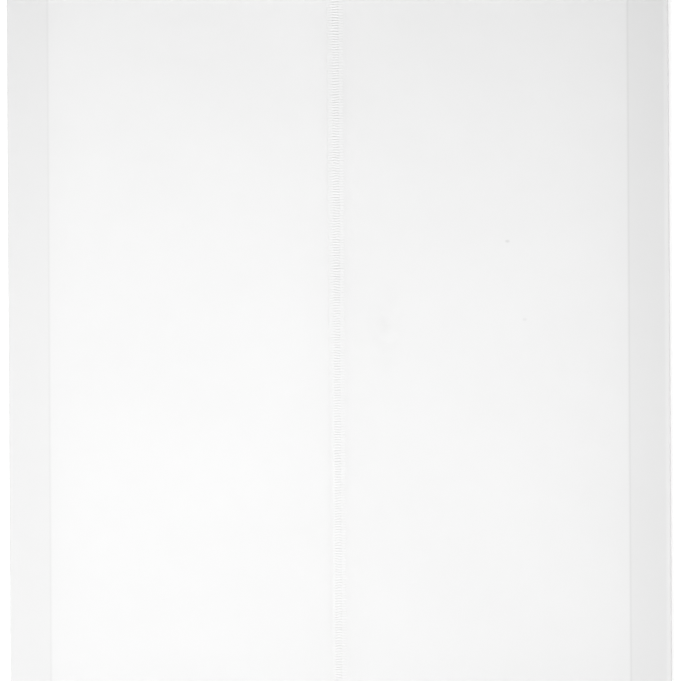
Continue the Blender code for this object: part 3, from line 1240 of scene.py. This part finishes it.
@dataclass
class Studio:
    """Floor, light and camera."""

    floor_size: float = 30.0
    floor_colour: Colour = (0.95, 0.95, 0.95)
    floor_lift: tuple[float, float] = (0.42, 0.65)
    floor_reach: tuple[float, float] = (0.2, 0.6)
    ambient: float = 0.4
    key_place: Point = (-0.085, -0.085, 0.45)
    key_size: float = 0.6
    key_power: float = 1.55
    rake_place: Point = (-0.6, -3.4, 1.7)
    rake_size: float = 0.6
    rake_power: float = 70.0
    lens: float = 100.0
    window: float = 0.25802
    aim: tuple[float, float] = (0.48 * MM, -17.0 * MM)
    roll: float = math.radians(0.33)

    def seen_directly(self, bench: NodeBench) -> Socket:
        """1 for rays that show a surface to the camera, straight, mirrored or through glass."""
        path = bench.add("ShaderNodeLightPath").outputs
        first = bench.maths("MAXIMUM", path["Is Camera Ray"], path["Is Glossy Ray"])
        return bench.maths("MAXIMUM", first, path["Is Transmission Ray"])

    def build_floor(self) -> None:
        """A pale floor that shows white and keeps the bag's shadow."""
        bm = bmesh.new()
        bmesh.ops.create_grid(bm, x_segments=1, y_segments=1, size=self.floor_size / 2)
        bmesh.ops.translate(bm, vec=(0, 0, -0.05 * MM), verts=bm.verts[:])
        mesh = bpy.data.meshes.new("floor")
        bm.to_mesh(mesh)
        bm.free()
        made = bpy.data.materials.new("pale_floor")
        made.use_nodes = True
        bench = NodeBench(made.node_tree)
        shader = made.node_tree.nodes["Principled BSDF"]
        shader.inputs["Base Color"].default_value = (*self.floor_colour, 1.0)
        shader.inputs["Roughness"].default_value = 1.0
        shader.inputs["Specular IOR Level"].default_value = 0.0
        shader.inputs["Emission Color"].default_value = (1.0, 1.0, 1.0, 1.0)
        place = bench.add("ShaderNodeTexCoord").outputs["Object"]
        away = bench.add("ShaderNodeVectorMath", {"Vector": place}, operation="LENGTH").outputs["Value"]
        near, far = self.floor_lift
        more = bench.maths("MULTIPLY", bench.ramp(away, *self.floor_reach), far - near)
        lifted = bench.maths("MULTIPLY", self.seen_directly(bench), bench.maths("ADD", near, more))
        bench.feed(shader.inputs["Emission Strength"], lifted)
        mesh.materials.append(made)
        floor = bpy.data.objects.new("floor", mesh)
        bpy.context.scene.collection.objects.link(floor)
        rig.stage(floor)

    def build_world(self) -> None:
        """Even light from all round, which shows white behind the floor."""
        world = bpy.data.worlds.new("studio")
        world.use_nodes = True
        bpy.context.scene.world = world
        bench = NodeBench(world.node_tree)
        soft = world.node_tree.nodes["Background"]
        soft.inputs["Color"].default_value = (1.0, 1.0, 1.0, 1.0)
        soft.inputs["Strength"].default_value = self.ambient
        white = bench.add("ShaderNodeBackground", {"Color": (1.0, 1.0, 1.0, 1.0), "Strength": 1.0})
        mixed = bench.add("ShaderNodeMixShader")
        bench.feed(mixed.inputs[0], self.seen_directly(bench))
        bench.feed(mixed.inputs[1], soft.outputs[0])
        bench.feed(mixed.inputs[2], white.outputs[0])
        bench.feed(world.node_tree.nodes["World Output"].inputs["Surface"], mixed.outputs[0])

    def build_lamp(self, name: str, place: Point, size: float, power: float, facing: Vector) -> None:
        """A round soft lamp that the camera doesn't see.

        Args:
            name: The lamp's name.
            place: Where it hangs.
            size: Width across its face.
            power: Its output in watts.
            facing: The way that its face looks.
        """
        lamp = bpy.data.lights.new(name, "AREA")
        lamp.shape = "DISK"
        lamp.size = size
        lamp.energy = power
        made = bpy.data.objects.new(name, lamp)
        made.location = place
        made.rotation_euler = facing.to_track_quat("-Z", "Y").to_euler()
        made.visible_camera = False
        bpy.context.scene.collection.objects.link(made)

    def build_lamps(self) -> None:
        """A key lamp over the lower left, and a low one that rakes across the ribs."""
        self.build_lamp("key", self.key_place, self.key_size, self.key_power, Vector((0, 0, -1)))
        self.build_lamp("rake", self.rake_place, self.rake_size, self.rake_power, -Vector(self.rake_place))

    def build_camera(self) -> None:
        """A long lens straight above the face, turned a little against the bag."""
        data = bpy.data.cameras.new("camera")
        data.lens = self.lens
        data.sensor_width = 36.0
        camera = bpy.data.objects.new("camera", data)
        distance = self.window * self.lens / data.sensor_width
        camera.location = (*self.aim, BAG.front_face + distance)
        camera.rotation_euler = (0, 0, -self.roll)
        bpy.context.scene.collection.objects.link(camera)
        bpy.context.scene.camera = camera

    def build(self) -> None:
        """Makes the whole studio."""
        bpy.context.scene.view_settings.view_transform = "Standard"
        self.build_floor()
        self.build_world()
        self.build_lamps()
        self.build_camera()


def write_sizes() -> None:
    """Writes the CAD part's box and the dressed bag's box."""
    boxes = {"cad": CAD_BOX, "visual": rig.bounds()}
    with open(SIZE_FILE, "w", encoding="utf-8") as out:
        json.dump({name: [list(corner) for corner in box] for name, box in boxes.items()}, out)


def main() -> None:
    """Builds the bag from the back outwards, then the studio."""
    logging.basicConfig(level=logging.INFO, format="%(name)s %(message)s")
    finishes = Finishes()
    BackPanel(finishes).build()
    for edge in Edge:
        Gusset(edge, finishes).build()
    FrontFace(finishes).build()
    Flap(finishes).build()
    Snap(finishes).build()
    Studio().build()
    write_sizes()


if __name__ == "__main__":
    main()
